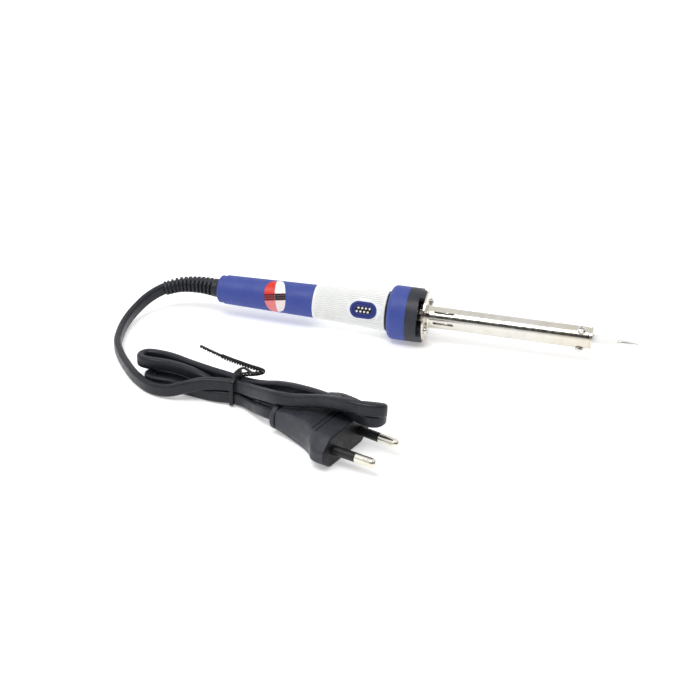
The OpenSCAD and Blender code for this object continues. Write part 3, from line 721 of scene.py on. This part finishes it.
def plug_ring(x, wide, flat, thick, detail):
    """One section of the plug in mm: flat top and bottom, bevelled shoulders, narrow sides."""
    side = thick * 0.36      # half height of the narrow sides
    corners = np.array([
        (wide, side), (flat, thick), (-flat, thick), (-wide, side),
        (-wide, -side), (-flat, -thick), (flat, -thick), (wide, -side),
    ])
    ring = []
    for before, corner, after in zip(np.roll(corners, 1, axis=0), corners, np.roll(corners, -1, axis=0)):
        far_radius = min(plug_edge_r, np.linalg.norm(after - corner) / 3)
        radius = min(far_radius, np.linalg.norm(before - corner) / 3)
        a = towards(corner, before, radius)
        b = towards(corner, after, radius)
        end = towards(after, corner, far_radius)
        ring += [(1 - t) ** 2 * a + 2 * t * (1 - t) * corner + t ** 2 * b for t in np.linspace(0, 1, 7)]
        ring += [b + (end - b) * t for t in np.linspace(0, 1, 14)[1:-1]]
    ring = np.array(ring)
    depth = detail * plug_relief_depth(x, ring[:, 0], flat, np.abs(ring[:, 1]) > thick - 0.3)
    return np.stack([np.full(len(ring), x), ring[:, 0], ring[:, 1] - np.sign(ring[:, 1]) * depth], 1)


def plug_relief_depth(x, across, flat, on_top):
    """Depth in mm of the two grooves and the ribbed patch that cross the flat of the plug at x."""
    grooves, groove_half, groove_deep = (-10.3, -8.3), 0.45, 0.55
    ribs_start, ribs_end, rib_pitch, rib_deep = -24, -12, 1.3333, 0.20
    fade = 0.8
    groove = sum(max(0.0, 1 - abs(x - middle) / groove_half) for middle in grooves) * groove_deep
    ribs = 0.0
    if ribs_start < x < ribs_end:
        ribs = rib_deep * (0.5 - 0.5 * math.cos(2 * math.pi * (x - ribs_start) / rib_pitch))
    inside = np.clip((flat - np.abs(across)) / fade, 0, 1)
    return (groove + ribs) * inside * on_top


def make_plug_flange(material):
    """Round flange and neck where the lead goes into the plug."""
    profile = [(-31.6, 4.5), (-32.3, 4.5), (-32.4, 5.2)]
    front_turn = np.linspace(0.4, math.pi / 2, 5)
    profile += [(-32.9 + 0.5 * math.cos(a), 5.2 + 0.5 * math.sin(a)) for a in front_turn]
    back_turn = np.linspace(0, math.pi / 2, 6)
    profile += [(-34.1 - 0.6 * math.sin(a), 5.1 + 0.6 * math.cos(a)) for a in back_turn]
    profile += [(-34.7, 4.2), (-34.9, 3.95), (-35.0, 3.6), (-35.0, 3.2)]
    angles = np.linspace(0, 2 * math.pi, 72, endpoint=False)
    rings = [[(x, -r * math.cos(a), r * math.sin(a)) for a in angles] for x, r in profile]
    made = piece("plug_flange", *skin(at_plug(np.array(rings[::-1]) * MM)), material, "pvc_black", 60)
    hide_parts("plug_relief")
    return made


# ---- twisted tie ----

wire_corner = 0.28       # mm, rounding of the strip's edges
tail_route = [
    (-63.5, -82, 12.9), (-60.5, -81, 13.6), (-57.2, -79.6, 13.6), (-54.9, -77.9, 13.6), (-54, -76.9, 13.8),
    (-55.4, -76.2, 14), (-60, -75.2, 14.2), (-65, -74, 14.5), (-73, -71.2, 14.6), (-80, -68.3, 14.8),
    (-87, -65, 15),
]
knot_route = [
    (-65, -84.8, 12.7), (-64.5, -81.5, 14.4), (-62.5, -78.5, 15), (-60, -79.4, 14.8), (-57.5, -80.6, 14.2),
    (-56.2, -79, 13.8),
]


def strip(line, turn_at, width, thick, spread=0.0, apart=0):
    """Flat wire strip along a line in mm. turn_at(i) turns it about the line, and it stands off the line by
    spread, which falls to a tenth over the eight points before the one numbered apart."""
    outline = soft_rectangle(width, thick, wire_corner, 3)
    rings = []
    for i, (middle, ahead) in enumerate(zip(line, headings(line))):
        across = np.cross(ahead, UP)
        across /= np.linalg.norm(across)
        above = np.cross(across, ahead)
        turn = turn_at(i)
        out = math.cos(turn) * across + math.sin(turn) * above
        beside = -math.sin(turn) * across + math.cos(turn) * above
        off = spread * min(1.0, max(0.1, (apart - i) / 8))
        rings.append([middle + off * out + a * beside + b * out for a, b in outline])
    return skin(np.array(rings) * MM)


def make_strap():
    """Closed loop of the strip round the hank's waist."""
    strap_x, low, high, near, far = -65.0, 0.34, 12.6, -87.4, -75.5
    corner_r, drift_x = 1.6, 0.5
    outline = soft_rectangle(1.7, 0.6, wire_corner, 3)
    loop = []
    for corner, (y, z) in enumerate(((far, high), (near, high), (near, low), (far, low))):
        side = 1 if y == far else -1
        level = 1 if z == high else -1
        for step in range(7):
            angle = math.radians(90 * (corner + step / 6))
            loop.append((
                strap_x, y - side * corner_r + corner_r * math.cos(angle),
                z - level * corner_r + corner_r * math.sin(angle),
            ))
    loop = np.array(loop)
    strap = []
    for i, (middle, ahead) in enumerate(zip(loop, headings(loop, True))):
        out = np.cross(ahead, (-1.0, 0, 0))
        drift = np.array([drift_x * math.sin(2 * math.pi * i / len(loop)), 0, 0])
        strap.append([middle + drift + np.array([a, 0, 0]) + out * b for a, b in outline])
    return skin(np.array(strap) * MM, looped=True)


def make_tie(material):
    """Flat wire tie: a strap round the hank's waist, a small loop, and its two ends twisted together."""
    spacing, lay_length, short_end = 0.15, 2.8, 0.72
    knot = even_path(smooth_path(knot_route, 10), spacing)[0]
    tail = even_path(smooth_path(tail_route, 12), spacing)[0]
    short = tail[:int(len(tail) * short_end)]

    def twist(i):
        return 2 * math.pi * i * spacing / lay_length

    parts = [
        make_strap(), strip(knot, lambda i: math.pi / 2, 1.5, 0.6),
        strip(tail, twist, 1.6, 0.75, 0.55, len(short)),
        strip(short, lambda i: twist(i) + math.pi, 1.6, 0.75, 0.55, 2 * len(short)),
    ]
    made = piece("wire_tie", *join(parts), material, "pvc_black", 60)
    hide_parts("twist_tie")
    return made


# ---- grip ----

def ridge_height(x, around):
    """Fine wavy ridges on the grip: 0 in a groove and 1 on a ridge, from x along it and the way round in mm.

    The ridges sway near the back of the grip, and climb towards the front below the button.
    """
    pitch, sharpness = 1.1, 0.6
    sway = 0.9 * np.sin(2 * np.pi * x / 6.5 + 0.25 * around) * np.clip(1 - (x - 10) / 12, 0, 1)
    slope = 0.42 * np.clip(x - 8, 0, 40) * np.clip((2 - around) / 6, 0, 1)
    phase = (around + sway - slope) / pitch
    return (0.5 + 0.5 * np.cos(2 * np.pi * phase)) ** sharpness


def make_grip(material):
    """White sleeve with raised wavy lines, open under the button's bezel."""
    columns, rows = 220, 420
    ridge_high = 0.30 * MM
    plain_end, end_r, end_reach = 1.6 * MM, 0.5 * MM, 0.6 * MM
    hole_length, hole_width = 12.4, 7.8      # mm, the hole under the bezel
    clear_length, clear_width = 8.6, 6.2     # mm, half sizes of the smooth patch round the bezel
    xs = np.linspace(grip_x, neck_x, columns)
    angles = np.linspace(0, 2 * np.pi, rows, endpoint=False)
    share = (xs - grip_x) / (neck_x - grip_x)
    radius = grip_back_r + (grip_front_r - grip_back_r) * share
    ends = np.clip(np.minimum(xs - grip_x, neck_x - xs) / plain_end, 0, 1)
    to_front = 1 - np.clip((neck_x - xs) / end_reach, 0, 1)
    round_off = end_r * (1 - np.sqrt(np.clip(1 - to_front ** 2, 0, 1)))
    around = (angles - button_angle + np.pi) % (2 * np.pi) - np.pi
    grid_x, grid_a = np.meshgrid(xs, around, indexing="ij")
    mm_x = (grid_x - grip_x) / MM
    mm_around = grid_a * radius[:, None] / MM
    clear = np.hypot((grid_x - button_x) / (clear_length * MM), mm_around / clear_width)
    fade = np.clip((clear - 0.82) / 0.2, 0, 1) * ends[:, None]
    ridges = ridge_height(mm_x, mm_around)
    r = (radius - round_off)[:, None] + ridge_high * (ridges - 0.5) * fade
    outer = np.stack([grid_x, -r * np.cos(angles)[None, :], axis_z + r * np.sin(angles)[None, :]], 2)
    inner = lathe([(neck_x, grip_bore_r), (grip_x, grip_bore_r)], rows)
    points, faces = skin(np.concatenate([outer, np.array(inner)]), closed=False, looped=True)
    half_straight = (hole_length - hole_width) / 2 * MM

    def covered(index):
        """True under the bezel: the sleeve has a hole there."""
        x, y, z = points[index]
        turned = math.atan2(z - axis_z, -y) - button_angle
        reach = math.hypot(y, z - axis_z)
        if reach * math.cos(turned) < grip_bore_r * 1.01:
            return False
        off = math.hypot(max(0.0, abs(x - button_x) - half_straight), reach * math.sin(turned))
        return off < hole_width / 2 * MM

    kept = [face for face in faces if not all(covered(i) for i in face)]
    made = piece("grip_sleeve", points, kept, material, "white_plastic")
    # Mask for the painted shade in the grooves: 1 deep in a groove, 0 on a ridge.
    groove = made.data.attributes.new("groove", "FLOAT", "POINT")
    depth = np.zeros(len(points))
    depth[:ridges.size] = ((1 - ridges) * fade).ravel()
    groove.data.foreach_set("value", depth)
    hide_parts("front_grip")
    return made


# ---- dressing the CAD nodes ----

def dress(vinyl):
    """Gives each CAD node its material."""
    blue = blue_plastic()
    button_blue = bezel_blue()
    black = black_plastic()
    screws = zinc_screw()
    plating = nickel()
    white_ceramic = ceramic()
    wire = resistance_wire()
    brass = tinned_brass()
    finishes = {
        "rear_handle": blue, "collar_ring": blue, "button_bezel": button_blue, "button": button_blue,
        "neck_ring": neck_rubber(), "switch_body": black, "diode": black,
        "heat_guard": heat_plastic(), "handle_label": label_film(),
        "flange_plate": plating, "barrel": plating, "bit_bush": screws,
        "flange_screws": screws, "set_screw_upper": screws, "set_screw_lower": screws, "clamp_screws": screws,
        "bit": bit_steel(), "bit_sleeve": white_ceramic, "heater_core": white_ceramic,
        "lead_insulator": white_ceramic, "heater_winding": wire, "heater_leads": wire,
        "mica_sleeve": mica(), "lead_sleeves": glass_fibre(),
        "button_inlay": inlay_rubber(), "button_nibs": nib_white(), "circuit_board": pcb(),
        "wire_terminals": brass, "switch_plunger": brass, "cord_clamp": nib_white(), "cord_tail": vinyl,
        "mains_core_brown": pvc_brown(), "mains_core_blue": pvc_blue(),
        "plug_pins": pin_metal(), "pin_sleeves": sleeve_plastic(),
    }
    for name, material in finishes.items():
        mesh = nodes[name].data
        mesh.materials.clear()
        mesh.materials.append(material)


make_camera()
make_studio()
vinyl = pvc_black()
cord, cord_path, cord_length = make_cord(vinyl)
boot = make_boot(boot_vinyl())
plug = make_plug(plug_vinyl())
flange = make_plug_flange(plug.data.materials[0])
tie = make_tie(sleeve_plastic())
make_grip(white_plastic())
dress(vinyl)
